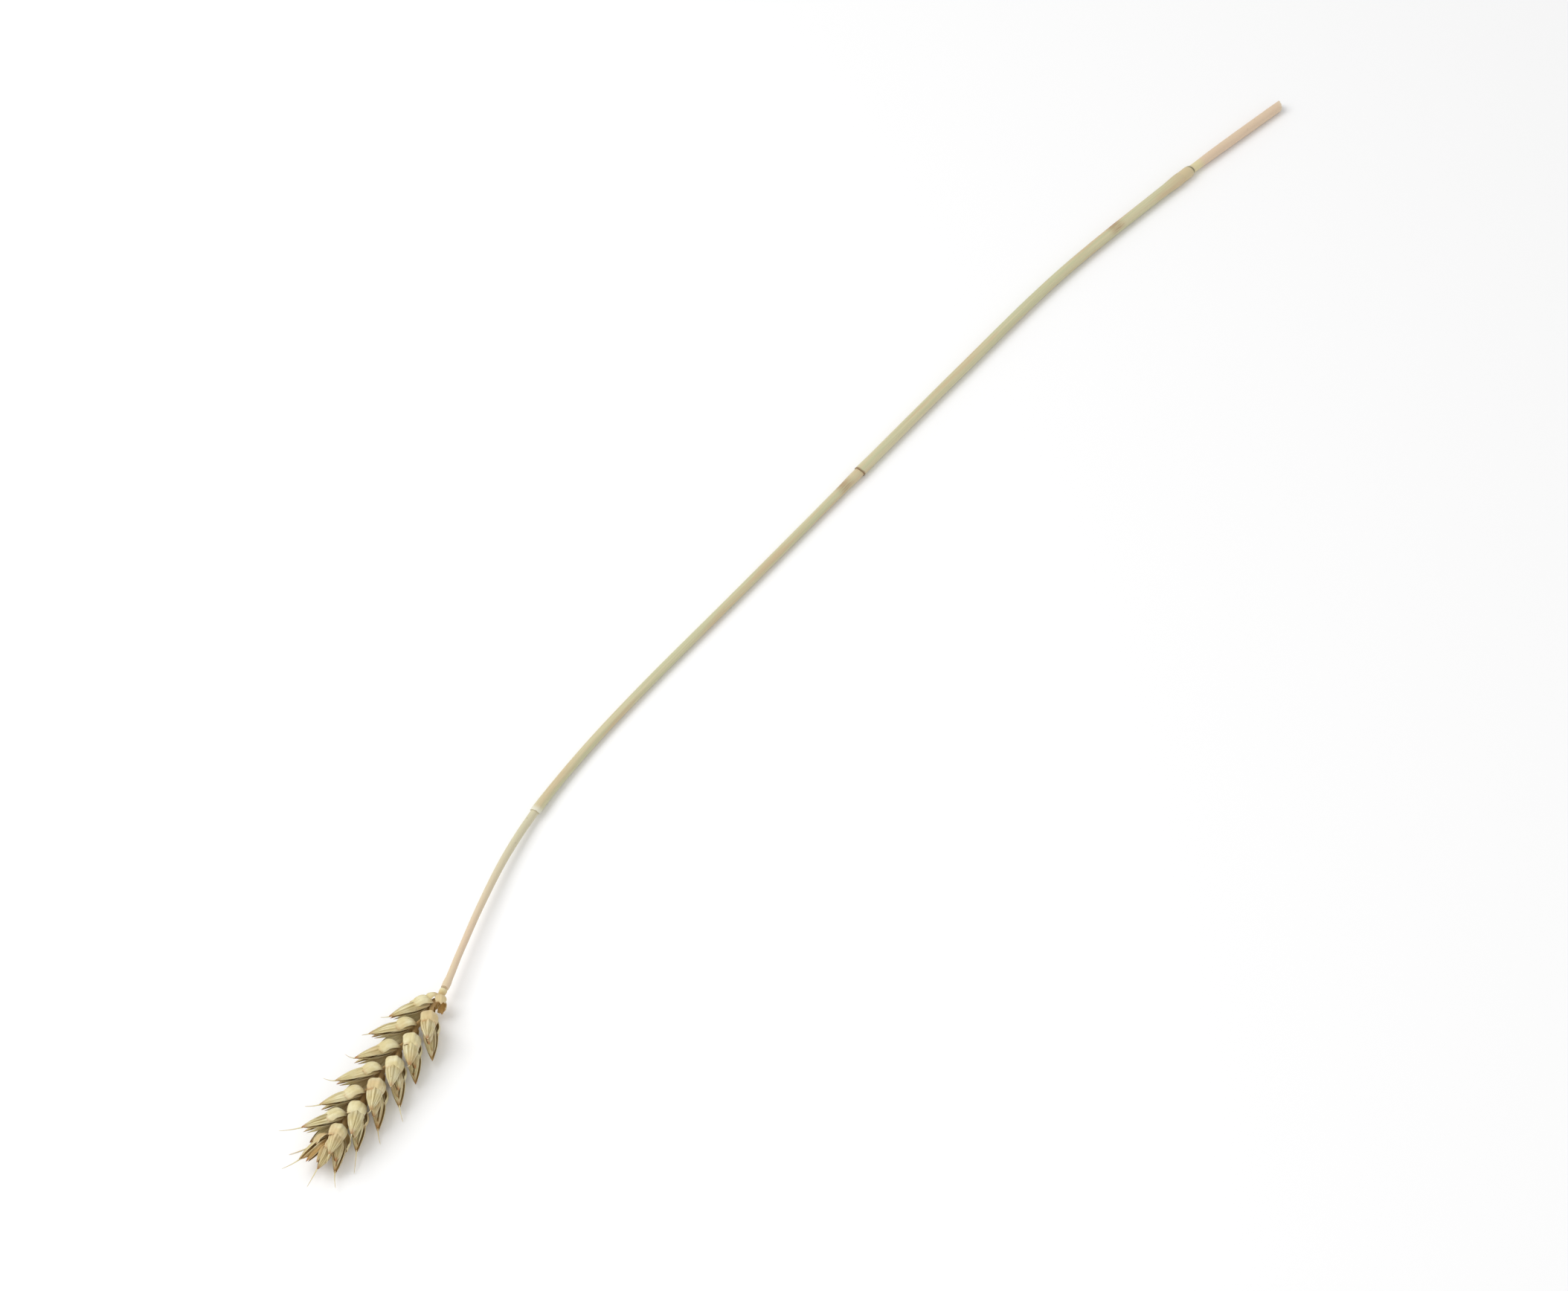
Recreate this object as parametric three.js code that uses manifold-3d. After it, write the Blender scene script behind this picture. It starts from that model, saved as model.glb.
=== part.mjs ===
// A dried wheat ear on its whole cut straw, lying on a flat surface.
// Millimetres, +Z up. +X runs from the ear towards the cut end of the straw.

import * as THREE from 'three';
import { mergeVertices } from 'three/addons/utils/BufferGeometryUtils.js';
import Module from 'manifold-3d';

const wasm = await Module();
wasm.setup();

// The line that ear and straw follow, through the middle of both, tip of the ear first.
// The foot of the ear is its point FOOT_INDEX.
const LINE = [
  [-94, -14.6, 6.0], [-68, -11.2, 6.2], [-42, -7.6, 6.3], [-18, -3.6, 6.2], [0, 0, 6.0],
  [18, 7.2, 5.6], [39, 15.6, 4.9], [63, 24.0, 3.8], [88, 30.2, 2.5], [118, 34.4, 1.9],
  [154, 37.0, 1.78], [214, 39.2, 1.78], [292, 42.2, 1.85], [360, 44.6, 2.02], [430, 46.0, 2.1],
  [500, 41.6, 2.2], [520, 39.8, 2.25], [576, 33.4, 2.1],
];
const FOOT_INDEX = 4;
const LINE_STEPS = 3400;

// The head: its rows, and how far its spikelets lean from the stalk.
const SPIKELETS = 12;
const FIRST_SPIKELET = 5;
const SPIKELET_PITCH = 5.5;
const HEAD_ROLL = THREE.MathUtils.degToRad(-8);
const SPLAY_FOOT = THREE.MathUtils.degToRad(38);
const SPLAY_TIP = THREE.MathUtils.degToRad(26);
const SPIKELET_SEAT = 0.3;
const SPIKELET_HALF_BASE = 0.7;
const SMALLEST = 0.86;
const GAIN_AT_MIDDLE = 0.16;

// The end spikelet, sunk into the top of the stalk, and the stunted ones at its foot.
const END_SUNK = 1.5;
const END_LEAN = 0.05;
const END_SIZE = 0.85;
const STUNTED_AT = 1.5;
const STUNTED_SPLAY = 0.5;

// The zigzag stalk inside the head.
const RACHIS_HALF_WIDTH = 1.25;
const RACHIS_HALF_THICK = 0.75;
const RACHIS_ZIGZAG = 0.85;
const RACHIS_FOOT = -2.1;
const RACHIS_SIDES = 8;
const FOOT_RADIUS = 1.4;

// How much one husk or spikelet differs from the next.
const SPLAY_DIFFERENCE = 0.04;
const FAN_DIFFERENCE = 2.5;
const REACH_DIFFERENCE = 0.07;
const SIZE_DIFFERENCE = 0.04;

// The awns: a hard curl low on the head, longer and straighter towards its tip.
const AWN_RADIUS = 0.34;
const AWN_STEPS = 3;
const AWN_SUNK = 1.4;
const AWN_SHORTEST = 2.2;
const AWN_LONGEST = 7;
const AWN_DIFFERENCE = 0.3;
const AWN_CURL = 1.4;
const STRAIGHT_PAST_TIP = 1.5;
const PAIRED_AWNS_FROM = 0.3;

// The straw, as [distance from the foot of the ear, radius].
const CULM_PROFILE = [
  [2.4, 1.35], [4.5, 1.5], [7, 1.28], [20, 1.2], [50, 1.3], [84, 1.32], [88, 1.18], [90, 1.08],
  [93, 1.0], [99, 0.95], [120, 0.92], [200, 0.95], [280, 1.05], [291, 1.15], [296, 1.3],
  [300, 1.32], [306, 1.25], [400, 1.3], [500, 1.4], [511, 1.5], [513.5, 2.15], [516, 2.35],
  [518.5, 2.2], [522, 1.75], [530, 1.9], [545, 2.0], [574, 2.05],
];
const CULM_SIDES = 10;
const BORE_RADIUS = 1.35;
const BORE_DEPTH = 50;
const CUT_SLANT = 1.3;

// The two leaf sheaths: outer radius along the straw, wall and the gap where the edges meet.
const SHEATH_WALL = 0.6;
const SHEATH_SIDES = 10;
const SHEATH_SLIT = THREE.MathUtils.degToRad(13);
const SHEATH_SLIT_AT = THREE.MathUtils.degToRad(158);
const FLAG_SHEATH_PROFILE = [
  [91, 2.02], [93, 2.0], [97, 1.92], [104, 1.86], [130, 1.85], [200, 1.85], [270, 1.9],
  [288, 1.98], [292, 2.2], [296.5, 2.2],
];
const SECOND_SHEATH_PROFILE = [
  [299, 2.35], [301, 2.28], [306, 2.2], [340, 2.2], [430, 2.25], [490, 2.32], [504, 2.45],
  [508, 2.75], [511.5, 2.65],
];
const MOUTH_SLANT = 1.6;

// Longest step between two cross-sections of the straw and its sheaths.
const STEP_ALONG = 11;
const WELD = 1e-4;
const SEED = 20771;
const SURFACE_BLOCK = [1600, 400, 40];

/** A repeatable source of small differences: returns values from -1 to 1. */
function makeDraw(seed) {
  let state = seed;
  return () => {
    state = (state * 1664525 + 1013904223) % 4294967296;
    return state / 2147483648 - 1;
  };
}

const draw = makeDraw(SEED);

const line = new THREE.CatmullRomCurve3(
  LINE.map(([x, y, z]) => new THREE.Vector3(x, y, z)), false, 'centripetal');
line.arcLengthDivisions = LINE_STEPS;
const lineLengths = line.getLengths(LINE_STEPS);
const footLength = lineLengths[Math.round(FOOT_INDEX * LINE_STEPS / (LINE.length - 1))];

/** The point on the line at a distance from the foot of the ear, with its three directions. */
function frameAt(distance) {
  const share = (footLength + distance) / line.getLength();
  const point = line.getPointAt(share);
  const along = line.getTangentAt(share);
  const side = new THREE.Vector3(0, 0, 1).cross(along).normalize();
  const up = along.clone().cross(side);
  return { point, along, side, up };
}

/** Reads a list of [place, value] pairs between its points. */
function read(profile, place) {
  const last = profile.findIndex(([at]) => at >= place);
  if (last <= 0) return last === 0 ? profile[0][1] : profile[profile.length - 1][1];
  const [from, low] = profile[last - 1];
  const [to, high] = profile[last];
  return THREE.MathUtils.lerp(low, high, (place - from) / (to - from));
}

/** The places of cross-sections: every point of a profile, with longer steps divided. */
function stationsOf(profile) {
  const stations = [];
  profile.slice(1).forEach(([to], i) => {
    const from = profile[i][0];
    const parts = Math.ceil((to - from) / STEP_ALONG);
    for (let k = 0; k < parts; k += 1) stations.push(THREE.MathUtils.lerp(from, to, k / parts));
  });
  stations.push(profile[profile.length - 1][0]);
  return stations;
}

/** Moves every vertex of a closed geometry by a rule and welds its seams. */
function reshape(geometry, rule) {
  geometry.deleteAttribute('normal');
  geometry.deleteAttribute('uv');
  const position = geometry.getAttribute('position');
  const vertex = new THREE.Vector3();
  for (let i = 0; i < position.count; i += 1) {
    rule(vertex.fromBufferAttribute(position, i));
    position.setXYZ(i, vertex.x, vertex.y, vertex.z);
  }
  return mergeVertices(geometry, WELD);
}

/** A geometry as a solid for joining and cutting. */
function toSolid(geometry) {
  return new wasm.Manifold(new wasm.Mesh({
    numProp: 3,
    vertProperties: new Float32Array(geometry.getAttribute('position').array),
    triVerts: new Uint32Array(geometry.getIndex().array),
  }));
}

/** The shell of a solid that holds the most, with loose scraps and inner voids left out. */
function mainShell(mesh) {
  const parent = Array.from({ length: mesh.vertProperties.length / 3 }, (_, i) => i);
  const root = (i) => {
    let top = i;
    while (parent[top] !== top) top = parent[top];
    parent[i] = top;
    return top;
  };
  const corner = (i) => new THREE.Vector3().fromArray(mesh.vertProperties, mesh.triVerts[i] * 3);
  for (let i = 0; i < mesh.triVerts.length; i += 3) {
    parent[root(mesh.triVerts[i + 1])] = root(mesh.triVerts[i]);
    parent[root(mesh.triVerts[i + 2])] = root(mesh.triVerts[i]);
  }
  const volumes = new Map();
  for (let i = 0; i < mesh.triVerts.length; i += 3) {
    const key = root(mesh.triVerts[i]);
    const volume = corner(i).dot(corner(i + 1).cross(corner(i + 2)));
    volumes.set(key, (volumes.get(key) ?? 0) + volume);
  }
  const [main] = [...volumes.entries()].sort((a, b) => b[1] - a[1])[0];
  return Array.from(mesh.triVerts).filter((_, i) => root(mesh.triVerts[i - (i % 3)]) === main);
}

/** A solid as a geometry of one closed shell. */
function toGeometry(solid) {
  const mesh = solid.getMesh();
  const geometry = new THREE.BufferGeometry();
  geometry.setAttribute('position', new THREE.BufferAttribute(mesh.vertProperties, 3));
  geometry.setIndex(mainShell(mesh));
  return geometry;
}

/** Everything below the surface that the plant lies on. */
function belowTheSurface() {
  const block = new THREE.BoxGeometry(...SURFACE_BLOCK).translate(0, 0, -SURFACE_BLOCK[2] / 2);
  return toSolid(reshape(block, () => {}));
}

/** A named mesh in the colour of its sub-part. */
function piece(name, geometry, color, roughness) {
  const material = new THREE.MeshStandardMaterial({ color, roughness, metalness: 0 });
  const mesh = new THREE.Mesh(geometry, material);
  mesh.geometry.computeVertexNormals();
  mesh.name = name;
  return mesh;
}

// Where the cross-sections of a husk stand, as a share of its length.
const OUTER_RINGS = [0, 0.08, 0.28, 0.54, 0.78, 0.93, 1];
const INNER_RINGS = [0, 0.12, 0.4, 0.7, 0.92, 1];
const KEEL_SHARPNESS = 6;
const INNER_SIDE_DEPTH = 0.6;

// The kinds of husk: length, half width and half depth in millimetres; swell places the
// widest part, full makes the outline rounder; bow lifts the middle, curl turns the tip.
const HUSKS = {
  glume: {
    length: 9.8, width: 3.15, depth: 1.9, swell: 1.0, full: 0.34, keel: 0.45, bow: 1.2, curl: -1.2,
    sides: 8, rings: OUTER_RINGS,
  },
  lemma: {
    length: 16.8, width: 2.7, depth: 1.8, swell: 0.7, full: 0.85, keel: 0.4, bow: 0.7, curl: 0.2,
    sides: 7, rings: OUTER_RINGS,
  },
  inner: {
    length: 13.4, width: 2.2, depth: 1.5, swell: 0.78, full: 0.85, keel: 0.3, bow: 0.3, curl: 0.6,
    sides: 5, rings: INNER_RINGS,
  },
  bract: {
    length: 6.6, width: 2.1, depth: 1.0, swell: 0.85, full: 0.7, keel: 0.2, bow: 0.8, curl: -0.2,
    sides: 6, rings: INNER_RINGS,
  },
};

/** One boat-shaped husk with a keel down its back, from its root along `axis`. */
function husk(kind, root, axis, back, scale) {
  const { length, width, depth, swell, full, keel, bow, curl, sides, rings } = HUSKS[kind];
  const across = back.clone().cross(axis).normalize();
  const outward = axis.clone().cross(across).normalize();
  const last = rings.length - 1;
  const sphere = new THREE.SphereGeometry(1, sides, last);
  const solid = toSolid(reshape(sphere, (vertex) => {
    const fromTop = Math.acos(THREE.MathUtils.clamp(vertex.y, -1, 1)) / Math.PI;
    const ring = Math.round((1 - fromTop) * last);
    const t = rings[ring];
    const angle = Math.atan2(-vertex.z, vertex.x);
    const pole = ring === 0 || ring === last;
    const size = pole ? 0 : Math.sin(Math.PI * t ** swell) ** full;
    const backness = Math.sin(angle);
    const lift = backness > 0
      ? depth * backness + keel * backness ** KEEL_SHARPNESS : depth * INNER_SIDE_DEPTH * backness;
    const spine = bow * Math.sin(Math.PI * t) + curl * t ** 3;
    vertex.copy(root)
      .addScaledVector(axis, length * scale * t)
      .addScaledVector(across, width * scale * size * Math.cos(angle))
      .addScaledVector(outward, scale * (size * lift + spine));
  }));
  const tip = root.clone().addScaledVector(axis, length * scale)
    .addScaledVector(outward, curl * scale);
  return { kind, solid, tip, axis, outward };
}

/** A slim awn that leaves a husk's tip and bends over by `bend` at its end. */
function awn({ tip, axis, outward }, length, bend) {
  const stem = new THREE.CylinderGeometry(AWN_RADIUS * 0.4, AWN_RADIUS, 1, 3, AWN_STEPS);
  const side = axis.clone().cross(outward).normalize();
  const root = tip.clone().addScaledVector(axis, -AWN_SUNK);
  return toSolid(reshape(stem, (vertex) => {
    const t = vertex.y + 0.5;
    const { x, z } = vertex;
    vertex.copy(root)
      .addScaledVector(axis, (length + AWN_SUNK) * t)
      .addScaledVector(outward, bend * t * t + x)
      .addScaledVector(side, -z);
  }));
}

/** Directions of a spikelet that leans from the growth line to one side of the head. */
function leaning(growth, sideways, face, angle) {
  const axis = growth.clone().multiplyScalar(Math.cos(angle))
    .addScaledVector(sideways, Math.sin(angle));
  const outward = sideways.clone().multiplyScalar(Math.cos(angle))
    .addScaledVector(growth, -Math.sin(angle));
  return { axis, outward, fan: face };
}

// The husks of a full spikelet: kind, place up the spikelet, side of the fan, angle from the
// spikelet's axis in degrees, share of the back that faces outwards, and size.
const FULL_SPIKELET = [
  { kind: 'glume', up: 0.2, hand: 1, fanned: 17, outwards: 0.5, size: 1 },
  { kind: 'glume', up: 0.2, hand: -1, fanned: 17, outwards: 0.5, size: 1 },
  { kind: 'lemma', up: 1.4, hand: 1, fanned: 15, outwards: 0.25, size: 1 },
  { kind: 'lemma', up: 2.0, hand: -1, fanned: 14, outwards: 0.25, size: 0.97 },
  { kind: 'inner', up: 3.4, hand: 1, fanned: 5, outwards: 1.6, size: 1 },
  { kind: 'inner', up: 4.4, hand: -1, fanned: 7, outwards: 1.0, size: 0.86 },
];

const STUNTED_SPIKELET = [
  { kind: 'bract', up: 0, hand: 1, fanned: 14, outwards: 0.5, size: 1 },
  { kind: 'bract', up: 0.4, hand: -1, fanned: 14, outwards: 0.5, size: 0.9 },
];

/** The husks of one spikelet, fanned from its root. */
function spikelet(root, { axis, outward, fan }, plan, scale) {
  return plan.map(({ kind, up, hand, fanned, outwards, size }) => {
    const angle = THREE.MathUtils.degToRad(fanned + FAN_DIFFERENCE * draw());
    const reach = axis.clone().multiplyScalar(Math.cos(angle))
      .addScaledVector(fan, hand * Math.sin(angle))
      .addScaledVector(outward, REACH_DIFFERENCE * draw()).normalize();
    const back = fan.clone().multiplyScalar(hand).addScaledVector(outward, outwards);
    const from = root.clone().addScaledVector(axis, up * scale)
      .addScaledVector(fan, hand * SPIKELET_HALF_BASE * scale);
    return husk(kind, from, reach, back, scale * size * (1 + SIZE_DIFFERENCE * draw()));
  });
}

/** The zigzag stalk inside the head, round where the straw meets it. */
function rachis() {
  const nodes = SPIKELETS + 1;
  const flat = Math.PI / RACHIS_SIDES;
  const stalk = new THREE.CylinderGeometry(1, 1, 1, RACHIS_SIDES, nodes, false, flat);
  return toSolid(reshape(stalk, (vertex) => {
    const ring = Math.round((0.5 - vertex.y) * nodes);
    const foot = ring === 0;
    const height = foot ? RACHIS_FOOT : FIRST_SPIKELET + (ring - 1) * SPIKELET_PITCH;
    const { point, row, face } = headFrame(height);
    const zigzag = foot || ring === nodes ? 0 : RACHIS_ZIGZAG * handOf(ring - 1);
    const { x, z } = vertex;
    vertex.copy(point)
      .addScaledVector(row, x * (foot ? FOOT_RADIUS : RACHIS_HALF_THICK) + zigzag)
      .addScaledVector(face, -z * (foot ? FOOT_RADIUS : RACHIS_HALF_WIDTH));
  }));
}

/** The side of the head, 1 or -1, that a spikelet stands on. */
function handOf(index) {
  return index % 2 === 0 ? 1 : -1;
}

/** The middle of the head at a height above its foot, with growth, row and face directions. */
function headFrame(height) {
  const { point, along, side, up } = frameAt(-height);
  const row = side.clone().multiplyScalar(Math.cos(HEAD_ROLL))
    .addScaledVector(up, Math.sin(HEAD_ROLL));
  const face = up.clone().multiplyScalar(Math.cos(HEAD_ROLL))
    .addScaledVector(side, -Math.sin(HEAD_ROLL));
  return { point, along, growth: along.clone().negate(), row, face };
}

/** The awns of a spikelet: short and curled low on the head, longer and straighter near its tip. */
function awnsOf(husks, share) {
  const awned = share < PAIRED_AWNS_FROM ? 1 : 2;
  return husks.filter(({ kind }) => kind === 'lemma').slice(0, awned).map((lemma) => {
    const mean = THREE.MathUtils.lerp(AWN_SHORTEST, AWN_LONGEST, share ** 2);
    const length = mean * (1 + AWN_DIFFERENCE * draw());
    return awn(lemma, length, (STRAIGHT_PAST_TIP - share) * (AWN_CURL + draw()));
  });
}

/** The whole head: stalk, two rows of spikelets, the end spikelet and the stunted ones. */
function head() {
  const top = FIRST_SPIKELET + SPIKELETS * SPIKELET_PITCH;
  const solids = [rachis()];
  const grow = (root, lean, plan, scale, share) => {
    const husks = spikelet(root, lean, plan, scale);
    solids.push(...husks.map(({ solid }) => solid), ...awnsOf(husks, share));
  };
  for (let i = 0; i < SPIKELETS; i += 1) {
    const share = i / (SPIKELETS - 1);
    const { point, growth, row, face } = headFrame(FIRST_SPIKELET + i * SPIKELET_PITCH);
    const sideways = row.clone().multiplyScalar(handOf(i));
    const splay = THREE.MathUtils.lerp(SPLAY_FOOT, SPLAY_TIP, share) + SPLAY_DIFFERENCE * draw();
    const root = point.clone().addScaledVector(sideways, SPIKELET_SEAT);
    const scale = SMALLEST + GAIN_AT_MIDDLE * Math.sin(Math.PI * (0.2 + share * 0.6));
    grow(root, leaning(growth, sideways, face, splay), FULL_SPIKELET, scale, share);
  }
  const tip = headFrame(top - END_SUNK);
  grow(tip.point, leaning(tip.growth, tip.face, tip.row, END_LEAN), FULL_SPIKELET, END_SIZE, 1);
  const foot = headFrame(STUNTED_AT);
  [1, -1].forEach((hand) => {
    const sideways = foot.row.clone().multiplyScalar(hand);
    const lean = leaning(foot.growth, sideways, foot.face, STUNTED_SPLAY);
    grow(foot.point, lean, STUNTED_SPIKELET, 1, 0);
  });
  const whole = solids.reduce((sum, next) => sum.add(next));
  return toGeometry(whole.subtract(belowTheSurface()));
}

/** A round rod along the line through the stations of a profile. */
function rod(profile, radiusAt, sides, slant) {
  const stations = stationsOf(profile);
  const last = stations.length - 1;
  const shape = new THREE.CylinderGeometry(1, 1, 1, sides, last, false, Math.PI / sides);
  return reshape(shape, (vertex) => {
    const ring = Math.round((vertex.y + 0.5) * last);
    const tilt = ring === last ? slant * vertex.x : 0;
    const { point, side, up } = frameAt(stations[ring] + tilt);
    const radius = radiusAt(stations[ring]);
    const { x, z } = vertex;
    vertex.copy(point).addScaledVector(side, x * radius).addScaledVector(up, -z * radius);
  });
}

/** The straw, hollow where it is cut. */
function culm() {
  const solid = toSolid(rod(CULM_PROFILE, (s) => read(CULM_PROFILE, s), CULM_SIDES, CUT_SLANT));
  const end = CULM_PROFILE[CULM_PROFILE.length - 1][0];
  const boreProfile = [[end - BORE_DEPTH, BORE_RADIUS], [end + 2, BORE_RADIUS]];
  const bore = toSolid(rod(boreProfile, () => BORE_RADIUS, CULM_SIDES - 2, 0));
  return toGeometry(solid.subtract(bore).subtract(belowTheSurface()));
}

/** A leaf sheath: a thin sheet rolled round the straw, its two edges nearly meeting. */
function sheath(profile) {
  const outline = [];
  for (let i = 0; i <= SHEATH_SIDES; i += 1) {
    const angle = (SHEATH_SLIT / 2) + (i / SHEATH_SIDES) * (2 * Math.PI - SHEATH_SLIT);
    outline.push(new THREE.Vector2(Math.cos(angle), Math.sin(angle)).multiplyScalar(2));
  }
  const inner = outline.map((point) => point.clone().multiplyScalar(0.5)).reverse();
  const stations = stationsOf(profile);
  const last = stations.length - 1;
  const sheet = new THREE.ExtrudeGeometry(new THREE.Shape([...outline, ...inner]),
    { depth: last, steps: last, bevelEnabled: false });
  const [mouth] = profile[0];
  const rolled = reshape(sheet, (vertex) => {
    const ring = Math.round(vertex.z);
    const angle = Math.atan2(vertex.y, vertex.x) + SHEATH_SLIT_AT;
    const outside = Math.hypot(vertex.x, vertex.y) > 1.5;
    const slant = stations[ring] === mouth ? -MOUTH_SLANT * 0.5 * (1 + Math.sin(angle)) : 0;
    const radius = read(profile, stations[ring]) - (outside ? 0 : SHEATH_WALL);
    const { point, side, up } = frameAt(stations[ring] + slant);
    vertex.copy(point).addScaledVector(side, radius * Math.cos(angle))
      .addScaledVector(up, radius * Math.sin(angle));
  });
  return toGeometry(toSolid(rolled).subtract(belowTheSurface()));
}

const plant = new THREE.Group();
plant.add(
  piece('ear', head(), 0xc9b98a, 0.75),
  piece('culm', culm(), 0xcdb595, 0.5),
  piece('flag_leaf_sheath', sheath(FLAG_SHEATH_PROFILE), 0xc6c39b, 0.5),
  piece('second_leaf_sheath', sheath(SECOND_SHEATH_PROFILE), 0xc3c096, 0.5),
);

// The origin is the middle of the whole, on the surface.
const middle = new THREE.Box3().setFromObject(plant).getCenter(new THREE.Vector3());
plant.position.set(-middle.x, -middle.y, 0);

export default plant;
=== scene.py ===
import logging
import math
from bisect import bisect_right
from dataclasses import dataclass, field
from enum import Enum
from typing import Union

import bmesh
import bpy
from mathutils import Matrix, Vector, noise


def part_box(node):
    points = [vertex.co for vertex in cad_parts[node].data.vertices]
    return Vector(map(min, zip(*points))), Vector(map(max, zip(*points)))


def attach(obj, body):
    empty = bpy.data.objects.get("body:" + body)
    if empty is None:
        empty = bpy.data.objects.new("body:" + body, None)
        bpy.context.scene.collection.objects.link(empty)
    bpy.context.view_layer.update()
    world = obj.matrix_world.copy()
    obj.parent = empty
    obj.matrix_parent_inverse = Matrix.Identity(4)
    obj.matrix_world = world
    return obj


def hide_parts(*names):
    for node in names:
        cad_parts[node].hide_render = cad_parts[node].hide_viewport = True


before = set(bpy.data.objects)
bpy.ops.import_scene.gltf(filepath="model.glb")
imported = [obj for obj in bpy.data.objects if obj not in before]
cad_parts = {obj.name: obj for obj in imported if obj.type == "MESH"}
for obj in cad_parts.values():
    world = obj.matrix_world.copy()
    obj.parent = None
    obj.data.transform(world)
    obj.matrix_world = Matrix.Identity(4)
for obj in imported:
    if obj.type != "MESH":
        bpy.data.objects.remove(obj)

LOG = logging.getLogger("wheat_ear")
MM = 0.001
IMAGE_WIDTH = 2108
SURFACE_GAP = 0.01
SAME_POINT = 2e-6

Number = Union[int, float]
Place = tuple[float, float, float]
Profile = tuple[tuple[float, float], ...]


def clamp(value: float, low: float = 0.0, high: float = 1.0) -> float:
    """Keeps a value between two limits."""
    return max(low, min(high, value))


def mix(low: float, high: float, share: float) -> float:
    """The value at a share of the way from low to high."""
    return low + (high - low) * share


def smooth(low: float, high: float, value: float) -> float:
    """Rises smoothly from 0 to 1 as value goes from low to high."""
    share = clamp((value - low) / (high - low))
    return share * share * (3.0 - 2.0 * share)


def read(profile: Profile, place: float) -> float:
    """Reads a list of (place, value) pairs, straight between its points.

    Args:
        profile: The pairs, in order of place.
        place: Where to read.

    Returns:
        The value there, or the nearest end's value outside the list.
    """
    if place <= profile[0][0]:
        return profile[0][1]
    for (start, low), (end, high) in zip(profile, profile[1:]):
        if place <= end:
            return mix(low, high, (place - start) / (end - start))
    return profile[-1][1]


def srgb(red: Number, green: Number, blue: Number) -> tuple[float, float, float, float]:
    """A colour given as on screen, as the linear colour that a shader takes.

    Args:
        red: From 0 to 255.
        green: From 0 to 255.
        blue: From 0 to 255.

    Returns:
        Red, green, blue and a full alpha, in linear light.
    """
    def linear(channel: Number) -> float:
        """One channel in linear light."""
        part = channel / 255.0
        return part / 12.92 if part <= 0.04045 else ((part + 0.055) / 1.055) ** 2.4
    return (linear(red), linear(green), linear(blue), 1.0)


class Draw:
    """A repeatable source of small differences."""

    def __init__(self, seed: int) -> None:
        """Starts the row of values at a seed."""
        self.state = seed

    def __call__(self) -> float:
        """The next value, from -1 to 1."""
        self.state = (self.state * 1664525 + 1013904223) % 4294967296
        return self.state / 2147483648.0 - 1.0


@dataclass
class LinePlace:
    """A point of the line with the directions along it, to its side and up."""

    point: Vector
    along: Vector
    side: Vector
    up: Vector


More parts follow.
